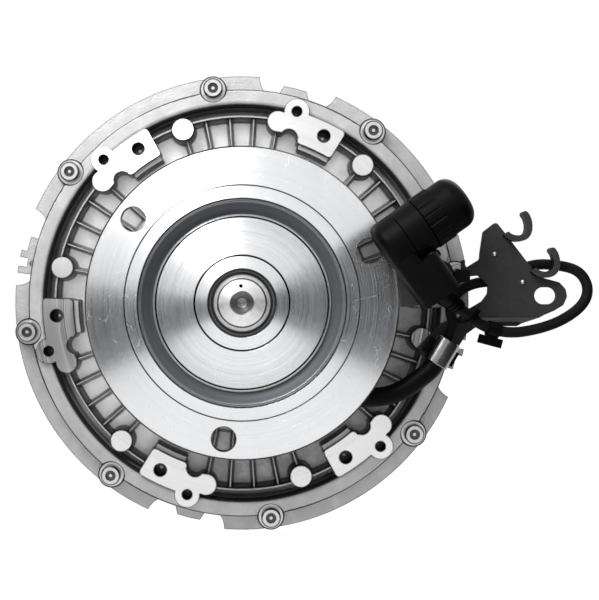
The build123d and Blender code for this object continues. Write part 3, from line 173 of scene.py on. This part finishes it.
class Finish(Graph):
    """A material being built: one principled shader, and the nodes that feed it."""

    def __init__(self, name, constants=None):
        self.material = bpy.data.materials.new(name)
        self.material.use_nodes = True
        super().__init__(self.material.node_tree)
        self.shader = self.add("BsdfPrincipled", None, constants)
        self.add("OutputMaterial", None, {"Surface": self.shader})

    def set(self, name, value):
        """Feeds one input of the shader."""
        self.feed(self.shader.socket.node.inputs[name], value)

    def point(self):
        """The point of the surface in the object's own frame."""
        return self.add("TexCoord", output="Object")

    def flat(self, low=0.90, high=0.99, rounding=None):
        """1 on faces square to the shaft, and 0 on steep ones.

        With a rounding radius it falls off round every edge, as if the edge were rounded.
        """
        if rounding is None:
            normal = self.add("NewGeometry", output="Normal")
        else:
            normal = self.add("Bevel", {"samples": 6}, {"Radius": rounding})
        return self.ramp(abs(self.split(normal)[1]), low, high)

    def edge(self, low, high, rounding):
        """1 in a thin line along the edges of faces that aren't steep."""
        return self.flat(0.10, 0.30) * (1.0 - self.flat(low, high, rounding))

    def noise(self, point, scale, detail=2.0, rough=0.5):
        """A cloudy number from 0 to 1, whose spots get smaller as the scale grows."""
        inputs = {"Vector": point, "Scale": scale, "Detail": detail, "Roughness": rough}
        return self.add("TexNoise", None, inputs)

    def bump(self, height, distance, strength, normal=None):
        """Makes the surface look raised where the height is 1, by up to the distance."""
        inputs = {"Height": height, "Distance": distance, "Strength": strength}
        if normal is not None:
            inputs["Normal"] = normal
        self.set("Normal", self.add("Bump", None, inputs))

    def dress(self, *names):
        """Gives this finish to CAD nodes by name."""
        for name in names:
            data = nodes[name].data
            data.materials.clear()
            data.materials.append(self.material)


# Lead: a round cable with a matt black jacket. It leaves the steel sleeve of the arm, passes
# behind the bracket, turns in a loop and goes into the boot of the connector.
CABLE_D = 0.0068
CABLE_ROUTE = (
    (0.1262, 0.0220, -0.0341),
    (0.1365, 0.0220, -0.0169),
    (0.1315, 0.0215, -0.0010),
    (0.1430, 0.0205, 0.0122),
    (0.1650, 0.0195, 0.0145),
    (0.1840, 0.0195, 0.0252),
    (0.2040, 0.0185, 0.0240),
    (0.2153, 0.0170, 0.0199),
    (0.2202, 0.0150, 0.0095),
    (0.2163, 0.0130, -0.0013),
    (0.2024, 0.0110, -0.0111),
    (0.1860, 0.0090, -0.0167),
    (0.1680, 0.0080, -0.0193),
    (0.1510, 0.0055, -0.0148),
    (0.1380, -0.0015, -0.0054),
    (0.1265, -0.0090, 0.0032),
)
JACKET_DARK = (0.0060, 0.0050, 0.0046)
JACKET_SCUFFED = (0.0125, 0.0105, 0.0095)
jacket = Finish("cable_jacket", {"Roughness": 0.6, "Specular IOR Level": 0.06})
point = jacket.point()
scuffs = jacket.noise(point, 420.0, 3.0)
jacket.set("Base Color", jacket.mix(scuffs, JACKET_DARK, JACKET_SCUFFED))
jacket.bump(jacket.noise(point, 1400.0), 0.0001, 0.4)
cable_curve = bpy.data.curves.new("lead", "CURVE")
cable_curve.dimensions = "3D"
cable_curve.bevel_depth = CABLE_D / 2
cable_curve.bevel_resolution = 5
cable_curve.resolution_u = 16
cable_curve.use_fill_caps = True
spline = cable_curve.splines.new("NURBS")
spline.points.add(len(CABLE_ROUTE) - 1)
for target, place in zip(spline.points, CABLE_ROUTE):
    target.co = (*place, 1.0)
spline.order_u = 3
spline.use_endpoint_u = True
lead = bpy.data.objects.new("lead", cable_curve)
scene.collection.objects.link(lead)
cable_curve.materials.append(jacket.material)
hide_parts("lead_cable")
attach(lead, "stator")


# Studio: a white floor in a white room, and two dark cards that stand on it at the left and the
# right of the camera. Turned faces spread the cards into dark wedges on both sides. The floor and
# the room look white to the camera and in reflections, and light the clutch less.
def grey(value):
    """A colour whose red, green and blue are the same."""
    return (value, value, value)


def sheet_of(name, corners, finish):
    """A flat sheet with four corners, which stays out of the model."""
    mesh = bpy.data.meshes.new(name)
    mesh.from_pydata(corners, [], [(0, 1, 2, 3)])
    mesh.materials.append(finish.material)
    sheet = bpy.data.objects.new(name, mesh)
    scene.collection.objects.link(sheet)
    return sheet


FLOOR_Z = -0.1535
FLOOR_HALF = 4.0
FLOOR_GLOW = 1.12
FLOOR_GLOW_SHARE = 0.84
CARD_NEAR_Y = 0.05
CARD_FAR_Y = -6.00
CARDS = (("card_left", -0.30, 0.035), ("card_right", 0.30, 0.105))
ROOM_LIGHT = 0.7
paper = Finish("floor_paper", {"Roughness": 0.9, "Base Color": grey(0.88)})
seen = paper.seen() * FLOOR_GLOW_SHARE
glow = paper.add("Emission", None, {"Color": grey(1.0), "Strength": FLOOR_GLOW})
blend = paper.add("MixShader", None, {0: seen, 1: paper.shader, 2: glow})
paper.add("OutputMaterial", {"is_active_output": True}, {"Surface": blend})
floor_corners = [
    (-FLOOR_HALF, -FLOOR_HALF, FLOOR_Z),
    (FLOOR_HALF, -FLOOR_HALF, FLOOR_Z),
    (FLOOR_HALF, FLOOR_HALF, FLOOR_Z),
    (-FLOOR_HALF, FLOOR_HALF, FLOOR_Z),
]
sheet_of("floor", floor_corners, paper)
felt = Finish("card_felt", {"Roughness": 0.9, "Base Color": (0.018, 0.020, 0.026)})
for name, card_x, card_top in CARDS:
    card_corners = [
        (card_x, CARD_FAR_Y, FLOOR_Z),
        (card_x, CARD_NEAR_Y, FLOOR_Z),
        (card_x, CARD_NEAR_Y, card_top),
        (card_x, CARD_FAR_Y, card_top),
    ]
    sheet_of(name, card_corners, felt).visible_camera = False

world = bpy.data.worlds.new("studio")
scene.world = world
world.use_nodes = True
room = Graph(world.node_tree)
strength = room.blend(room.seen(), ROOM_LIGHT, 1.0)
sky = room.add("Background", None, {"Color": grey(1.0), "Strength": strength})
room.add("OutputWorld", None, {"Surface": sky})

# Lamps: name, place, side of the square lamp and power. Both look at the middle of the ring.
LAMPS = (
    ("lamp_above", (-0.36, -0.62, 0.66), 0.45, 8.5),
    ("lamp_behind", (0.5, 1.0, 0.9), 0.8, 6.0),
)
for name, (x, y, z), side, power in LAMPS:
    lamp_data = bpy.data.lights.new(name, "AREA")
    lamp_data.shape = "SQUARE"
    lamp_data.size = side
    lamp_data.energy = power
    lamp = bpy.data.objects.new(name, lamp_data)
    lamp.location = (x, y, z)
    depth = y - RING_Y
    lamp.rotation_euler = (atan2(hypot(x, depth), z), 0, atan2(x, -depth))
    scene.collection.objects.link(lamp)


# Input flange: a steel disc turned on a lathe, so fine rings run round every face. The mounting
# face has a few scratches, and the cone down to the hub is left rougher and darker. Painted shade
# darkens the hub groove, the two fine grooves, the steep faces and a thin line along the edges.
METAL = {"Metallic": 1.0}
TOOL_PITCH = 0.00012
TOOL_LEAN = 3.4
TOOL_TILT = 0.30
CONE_R = (0.0565, 0.0646)
CONE_Y = (0.0056, 0.0064)
CONE_COLOUR = (0.135, 0.145, 0.155)
HUB_GROOVE_R = (0.0158, 0.0214)
HUB_GROOVE_Y = (0.0100, 0.0130)
HUB_GROOVE_SHADE = (0.17, 0.18, 0.19)
FINE_GROOVES = (0.0301, 0.0737)
FINE_GROOVE_HALF = 0.0004
FLANGE_RIM_R = (0.0970, 0.0975)
FLANGE_EDGE = 0.0007
STEEL_DULL = (0.74, 0.75, 0.77)
STEEL_BRIGHT = (0.84, 0.85, 0.86)
# Colour of the painted shade along edges, on steep faces and in the fine grooves.
STEEL_SHADE = (0.012, 0.012, 0.013)
SCRATCH_W = (0.004, 0.014)
SCRATCHED_R = (0.0500, 0.0700)


def length(across, along):
    """The length of a vector with two parts, such as the distance from the shaft axis."""
    return (across * across + along * along) ** 0.5


def turned(finish, x, y, z, amount=1.0):
    """The normal of a turned face. It leans in and out along the radius, as cut rings do.

    The lean is a noise of the radius and the depth alone, so it is the same all the way round,
    plus a slight outward tilt. The amount makes it weaker or stronger.
    """
    radius = length(x, z)
    reach = finish.add("CombineXYZ", None, {0: radius, 1: y, 2: 0.0})
    cut = (finish.noise(reach, 1.0 / TOOL_PITCH, 1.0) - 0.5) * TOOL_LEAN + TOOL_TILT
    cut = cut * amount / radius
    outward = finish.add("CombineXYZ", None, {0: x * cut, 1: 0.0, 2: z * cut})
    turn = {"vector_type": "VECTOR", "convert_from": "OBJECT", "convert_to": "WORLD"}
    outward = finish.add("VectorTransform", turn, {0: outward})
    normal = finish.add("NewGeometry", output="Normal")
    leaning = finish.add("VectorMath", {"operation": "ADD"}, {0: normal, 1: outward})
    return finish.add("VectorMath", {"operation": "NORMALIZE"}, {0: leaning})


steel = Finish("turned_steel", METAL)
point = steel.point()
x, y, z = steel.split(point)
radius = length(x, z)
steel.set("Normal", turned(steel, x, y, z))
cone = steel.band(radius, *CONE_R, 0.0004) * steel.ramp(y, *CONE_Y)
# Painted shade: the hub groove is coloured darker.
groove = steel.band(radius, *HUB_GROOVE_R, 0.0002) * steel.ramp(y, *HUB_GROOVE_Y)
stain = steel.noise(point, 38.0, 4.0)
web = {"feature": "DISTANCE_TO_EDGE"}
scratch = steel.add("TexVoronoi", web, {"Vector": point, "Scale": 70.0})
scratch = 1.0 - steel.ramp(scratch, *SCRATCH_W)
broken = steel.ramp(steel.noise(point, 160.0, 2.0), 0.56, 0.64)
scratch = scratch * broken * steel.ramp(radius, *SCRATCHED_R)
face = steel.mix(stain, STEEL_DULL, STEEL_BRIGHT)
face = steel.mix(scratch * 0.3, face, grey(1.0))
face = steel.mix(cone, face, CONE_COLOUR)
face = steel.mix(groove, face, HUB_GROOVE_SHADE)
# Painted shade: steep faces, a thin line along the edges and the two fine grooves are coloured
# dark.
steep = (1.0 - steel.flat(0.30, 0.60)) * (1.0 - steel.ramp(radius, *FLANGE_RIM_R))
shaded = (steel.edge(0.70, 0.98, FLANGE_EDGE) * (1.0 - cone)).most(steep)
for line_r in FINE_GROOVES:
    shaded = shaded.most(steel.band(radius, line_r, line_r, FINE_GROOVE_HALF))
steel.set("Base Color", steel.mix(shaded, face, STEEL_SHADE))
steel.set("Roughness", 0.20 + stain * 0.10 + (groove + cone * 2.4) * 0.15 + scratch * 0.2)
steel.dress("input_flange")

# Drive shaft: ground steel, with a drilled centre and a small locating hole at its nose.
DRILL_R = (0.0072, 0.0080)
DRILL_SHADE = (0.13, 0.135, 0.14)
NOSE_HOLE = (-0.00075, 0.01077)
NOSE_HOLE_R = 0.0013
shaft_steel = Finish("ground_steel", METAL)
point = shaft_steel.point()
x, y, z = shaft_steel.split(point)
shaft_steel.set("Normal", turned(shaft_steel, x, y, z, 0.6))
stain = shaft_steel.noise(point, 300.0, 4.0)
# Painted shade inside the drilled centre and the small locating hole.
drill = 1.0 - shaft_steel.ramp(length(x, z), *DRILL_R)
from_hole = length(x - NOSE_HOLE[0], z - NOSE_HOLE[1])
hole = 1.0 - shaft_steel.ramp(from_hole, NOSE_HOLE_R * 0.8, NOSE_HOLE_R)
nose = shaft_steel.mix(stain, grey(0.62), grey(0.95))
nose = shaft_steel.mix(drill * 0.75, nose, DRILL_SHADE)
shaft_steel.set("Base Color", shaft_steel.mix(hole, nose, (0.015, 0.015, 0.016)))
shaft_steel.set("Roughness", 0.26 + stain * 0.15)
shaft_steel.dress("drive_shaft", "valve_pivot_pin", "valve_spring", "dowel_pins")


# Bearings: ground and polished rings and balls, with turned brass cages between them.
def mottled(name, constants, grain, colours, roughness):
    """A finish whose colour and roughness wander together with one noise.

    The grain is the noise's scale and detail, and roughness is its lowest value and its span.
    """
    finish = Finish(name, constants)
    cloud = finish.noise(finish.point(), *grain)
    finish.set("Base Color", finish.mix(cloud, *colours))
    finish.set("Roughness", roughness[0] + cloud * roughness[1])
    return finish


RING_COLOURS = ((0.62, 0.62, 0.63), grey(0.74))
BRASS_COLOURS = ((0.66, 0.47, 0.19), (0.78, 0.60, 0.30))
bearing_steel = mottled("bearing_steel", METAL, (120.0, 3.0), RING_COLOURS, (0.12, 0.12))
bearing_steel.dress(
    "magnet_bearing_inner_ring",
    "magnet_bearing_outer_ring",
    "magnet_bearing_balls",
    "main_bearing_inner_ring",
    "main_bearing_outer_ring",
    "main_bearing_balls",
)
cage_brass = mottled("cage_brass", METAL, (200.0, 3.0), BRASS_COLOURS, (0.3, 0.15))
cage_brass.dress("magnet_bearing_cage", "main_bearing_cage")

# Housing and cover: sand-grained aluminium castings, screwed together. The pads, the bosses and the
# middle of the cover are faced bright on a lathe. Painted shade darkens the trough, the pocket
# walls, the cell corners, the seam, the screw seats and the fan holes, and draws a thin dark line
# along every edge. The pocket floors are painted lit towards the top left and darker towards the
# bottom right.
PAD_Y = 0.0365
BOSS_Y = 0.0375
FACED_HALF = 0.0002
REAR_BACK_Y = (0.0580, 0.0620)
COVER_MIDDLE_R = (0.0550, 0.0560)
COVER_MIDDLE_Y = (0.0945, 0.0955)
CELL_R = (0.1215, 0.1220)
CELL_Y = (0.0440, 0.0500)
CELL_CORNER = 0.0022
TROUGH_R = (0.1229, 0.1300)
TROUGH_Y = (0.0402, 0.0412)
POCKET_R = (0.1276, 0.1286)
CAST_EDGE = 0.0013
SEAM_R = 0.1395
SEAM_HALF = 0.0004
SEAM_END = (0.0090, 0.0092)
SCREW_SEAT_R = (0.0079, 0.0091)
SCREW_STEP = pi / 4
SCREW_PLACE = (37.3, 0.1415)
# Fan holes: angle in degrees, radius of their circle and radius of the hole.
FAN_STEP = pi / 3
FAN_HOLES = ((16.0, 0.1296, 0.0034), (26.1, 0.1209, 0.00425))
# Share of each hole's radius where painted shade darkens the fan hole.
FAN_HOLE_SHADE = (0.24, 1.15)
FAN_HOLE_Y = (0.0380, 0.0560)
# Colour of the painted shade on the castings.
CAST_SHADE = (0.018, 0.018, 0.019)
CAST_COLOURS = (grey(0.33), (0.69, 0.69, 0.685))
CAST_PATCH = grey(0.46)
# Colours of the pocket floors where they are painted lit, and where they are painted shaded.
LIT_CELL_COLOURS = ((0.96, 0.96, 0.95), grey(0.80))
SHADED_CELL_COLOURS = (grey(0.24), grey(0.34))
CELL_LIGHT_RANGE = (-0.100, 0.030)
FACED_COLOUR = grey(0.84)


def from_places(radius, clock, step, angle, circle_r):
    """How far a point lies from the nearest of some places spaced evenly round the shaft."""
    turn = clock - radians(angle)
    turn = turn - turn.math("ROUND", turn / step) * step
    across = radius * turn.math("SINE", turn)
    along = radius * turn.math("COSINE", turn) - circle_r
    return length(across, along)


casting = Finish("cast_aluminium")
point = casting.point()
x, y, z = casting.split(point)
radius = length(x, z)
clock = x.math("ARCTAN2", x, z)
square = casting.flat()
engine_side = 1.0 - casting.ramp(y, *REAR_BACK_Y)
middle = casting.ramp(y, *COVER_MIDDLE_Y) * (1.0 - casting.ramp(radius, *COVER_MIDDLE_R))
faced = casting.band(y, PAD_Y, PAD_Y, FACED_HALF) + casting.band(y, BOSS_Y, BOSS_Y, FACED_HALF)
faced = (faced + middle) * square
normal = turned(casting, x, y, z, faced)
# Painted shade inside the fan holes.
hole_shade = 0.0
for angle, circle_r, hole_r in FAN_HOLES:
    away = from_places(radius, clock, FAN_STEP, angle, circle_r)
    dark_from, dark_to = [hole_r * share for share in FAN_HOLE_SHADE]
    hole_shade = casting.band(away, dark_from, dark_to, 0.0002) + hole_shade
hole_shade = hole_shade * casting.band(y, *FAN_HOLE_Y, 0.0003)
cell = casting.ramp(y, *CELL_Y) * (1.0 - casting.ramp(radius, *CELL_R)) * engine_side
# Painted shade in the corners of the cells.
corner_shade = cell * (1.0 - casting.flat(0.86, 1.0, CELL_CORNER))
away = from_places(radius, clock, SCREW_STEP, *SCREW_PLACE)
# Painted shade along the seam and round each screw seat.
seam_shade = casting.band(radius, SEAM_R, SEAM_R, SEAM_HALF) * casting.ramp(away, *SEAM_END)
seam_shade = (seam_shade + casting.band(away, *SCREW_SEAT_R, 0.0002)) * engine_side
# Painted shade in the trough, which is also made less metallic.
trough_shade = casting.band(radius, *TROUGH_R, 0.0006) * casting.ramp(y, *TROUGH_Y) * engine_side
# Painted shade on the steep pocket walls.
pocket_wall_shade = (1.0 - square) * (1.0 - casting.ramp(radius, *POCKET_R))
pocket_wall_shade = pocket_wall_shade * engine_side * (1.0 - casting.ramp(radius, *TROUGH_R))
# Painted shade: a thin dark line along every edge.
edge = casting.edge(0.84, 0.998, CAST_EDGE) * (0.4 + engine_side * 0.6)
unshaded = 1.0 - edge.most(pocket_wall_shade)
unshaded = unshaded * (1.0 - hole_shade * 0.85) * (1.0 - trough_shade * 0.1) * (1.0 - corner_shade * 0.9)
unshaded = unshaded * (1.0 - seam_shade * 0.9)
grain = casting.noise(point, 900.0, 4.0, 0.6)
cloud = casting.noise(point, 70.0, 5.0, 0.65)
patch = casting.ramp(casting.noise(point, 90.0, 3.0, 0.6), 0.40, 0.62)
# Painted light and shade: pocket floors are coloured lit towards the top left and darker towards
# the bottom right.
cell_light = casting.ramp(z - x * 0.8 + cloud * 0.02, *CELL_LIGHT_RANGE)
skin = casting.mix(cloud, *CAST_COLOURS)
skin = casting.mix(patch * 0.5, skin, CAST_PATCH)
pocket = casting.mix(patch * 0.6, *LIT_CELL_COLOURS)
pocket = casting.mix(cell_light, casting.mix(patch, *SHADED_CELL_COLOURS), pocket)
skin = casting.mix(cell, skin, pocket)
skin = casting.mix(faced, skin, FACED_COLOUR)
casting.set("Base Color", casting.mix(unshaded, CAST_SHADE, skin))
casting.set("Metallic", 1.0 - trough_shade * 0.75)
casting.set("Roughness", 0.44 - faced * 0.14 - cell * 0.18 + grain * 0.1)
casting.bump(grain * (1.0 - faced * 0.85), 0.0004, 0.5, normal)
casting.dress("rear_housing", "front_cover")

# Cover screws and their washers: bright plated steel, with painted shade in the socket and
# along the edges.
SOCKET_Y = (0.0400, 0.0440)
SCREW_EDGE = 0.0005
SCREW_SHADE = (0.03, 0.03, 0.031)
plating = Finish("bright_plating", METAL)
point = plating.point()
smear = plating.noise(point, 300.0, 3.0)
# Painted shade on the floor of the socket.
socket = plating.band(plating.split(point)[1], *SOCKET_Y, 0.0003) * plating.flat()
plate = plating.mix(smear, grey(0.50), grey(0.86))
plate = plating.mix(socket * 0.9, plate, SCREW_SHADE)
# Painted shade: a thin dark line along the edges.
edge = plating.edge(0.60, 0.97, SCREW_EDGE)
plating.set("Base Color", plating.mix(edge, plate, SCREW_SHADE))
plating.set("Roughness", 0.24 + smear * 0.12)
plating.dress("cover_screws", "cover_screw_washers")

# Small screws, rivets and washers elsewhere: the same steel without the dark rings.
small_steel = mottled("small_steel", METAL, (300.0, 3.0), (grey(0.58), grey(0.80)), (0.25, 0.15))
small_steel.dress(
    "bracket_rivets",
    "saddle_screws",
    "disc_washer",
    "disc_screw",
    "fill_plug",
    "reservoir_plate_screws",
)

# Magnet: a steel pot with a thin black coat, and its coil of enamelled wire under black resin.
COAT_COLOURS = ((0.010, 0.010, 0.011), (0.028, 0.028, 0.030))
WIRE_COLOURS = ((0.20, 0.05, 0.015), (0.50, 0.17, 0.05))
WIRE_SCALE = 320.0
coat_shine = {"Specular IOR Level": 0.3}
black_coat = mottled("black_coat", coat_shine, (150.0, 4.0), COAT_COLOURS, (0.38, 0.2))
black_coat.bump(black_coat.noise(black_coat.point(), 1100.0), 0.0001, 0.5)
black_coat.dress("magnet_case", "coil_cover", "coil_bobbin", "speed_sensor")
winding = Finish("winding", {"Metallic": 0.6, "Roughness": 0.35})
layers = {"Vector": winding.point(), "Scale": WIRE_SCALE}
turns = winding.add("TexWave", {"bands_direction": "Y"}, layers, 1)
winding.set("Base Color", winding.mix(turns, *WIRE_COLOURS))
winding.dress("magnet_coil")

# Lead arm and the connector: black glass-filled plastic with a fine moulded grain.
MOULDED_COLOURS = ((0.0010, 0.0010, 0.0011), (0.0028, 0.0028, 0.0030))
moulded_shine = {"Specular IOR Level": 0.06}
moulded = mottled("moulded_black", moulded_shine, (70.0, 3.0), MOULDED_COLOURS, (0.38, 0.18))
moulded.bump(moulded.noise(moulded.point(), 1300.0, 3.0), 0.0001, 0.5)
moulded.dress(
    "lead_arm",
    "sleeve_saddle",
    "cable_tie",
    "cable_clip",
    "connector_backshell",
    "connector_body",
    "connector_ring",
    "connector_cap",
    "connector_boot",
    "connector_clip",
    "oil_wiper",
)

# Sleeve: polished steel, slipped over the end of the arm.
sleeve_colours = (grey(0.20), grey(0.30))
sleeve_steel = mottled("polished_steel", METAL, (240.0, 4.0), sleeve_colours, (0.14, 0.10))
sleeve_steel.dress("arm_sleeve")

# Bracket and carrier: bent from sheet steel, with a dark zinc coat. A painted highlight lightens
# the edges of its faces. Painted shade makes the sides and the rolled hooks darker, and they are
# browner.
ZINC_COLOURS = ((0.030, 0.0300, 0.0305), (0.050, 0.050, 0.051))
ZINC_SIDE_SHADE = (0.006, 0.0056, 0.0052)
ZINC_EDGE_HIGHLIGHT = grey(0.20)
ZINC_EDGE = 0.0004
dark_zinc = Finish("dark_zinc", {"Specular IOR Level": 0.06})
point = dark_zinc.point()
mottle = dark_zinc.noise(point, 260.0, 5.0, 0.65)
broad = dark_zinc.noise(point, 30.0, 3.0)
front = dark_zinc.flat()
# Painted highlight along the edges of the faces.
edge = (1.0 - dark_zinc.flat(0.70, 0.95, ZINC_EDGE)) * front
# Painted shade: faces that aren't square to the shaft get the darker side colour.
coat = dark_zinc.mix(front, ZINC_SIDE_SHADE, dark_zinc.mix(mottle, *ZINC_COLOURS))
dark_zinc.set("Base Color", dark_zinc.mix(edge * 0.5, coat, ZINC_EDGE_HIGHLIGHT))
dark_zinc.set("Roughness", 0.40 + broad * 0.2)
dark_zinc.bump(mottle, 0.0001, 0.3)
dark_zinc.dress("lead_bracket", "connector_carrier")

# Soft steel pieces inside: the flux ring, the tone ring, the plates and the valve.
SOFT_STEEL_GRAIN = (180.0, 4.0)
SOFT_STEEL_COLOURS = ((0.28, 0.28, 0.285), grey(0.42))
soft_steel = mottled("soft_steel", METAL, SOFT_STEEL_GRAIN, SOFT_STEEL_COLOURS, (0.38, 0.2))
soft_steel.bump(soft_steel.noise(soft_steel.point(), *SOFT_STEEL_GRAIN), 0.0002, 0.3)
soft_steel.dress(
    "flux_ring",
    "tone_ring",
    "bearing_retaining_ring",
    "magnet_bearing_circlip",
    "reservoir_plate",
    "valve_lever",
    "valve_armature",
)

# Drive disc: an aluminium disc, turned all over.
disc_colours = (grey(0.66), grey(0.80))
disc_metal = mottled("turned_aluminium", METAL, (80.0, 3.0), disc_colours, (0.3, 0.1))
x, y, z = disc_metal.split(disc_metal.point())
disc_metal.set("Normal", turned(disc_metal, x, y, z, 0.8))
disc_metal.dress("drive_disc")

# Seals: black rubber.
rubber_shine = {"Specular IOR Level": 0.4}
rubber_colours = (grey(0.010), grey(0.022))
rubber = mottled("seal_rubber", rubber_shine, (500.0, 3.0), rubber_colours, (0.55, 0.15))
rubber.dress("shaft_seal", "cover_o_ring")
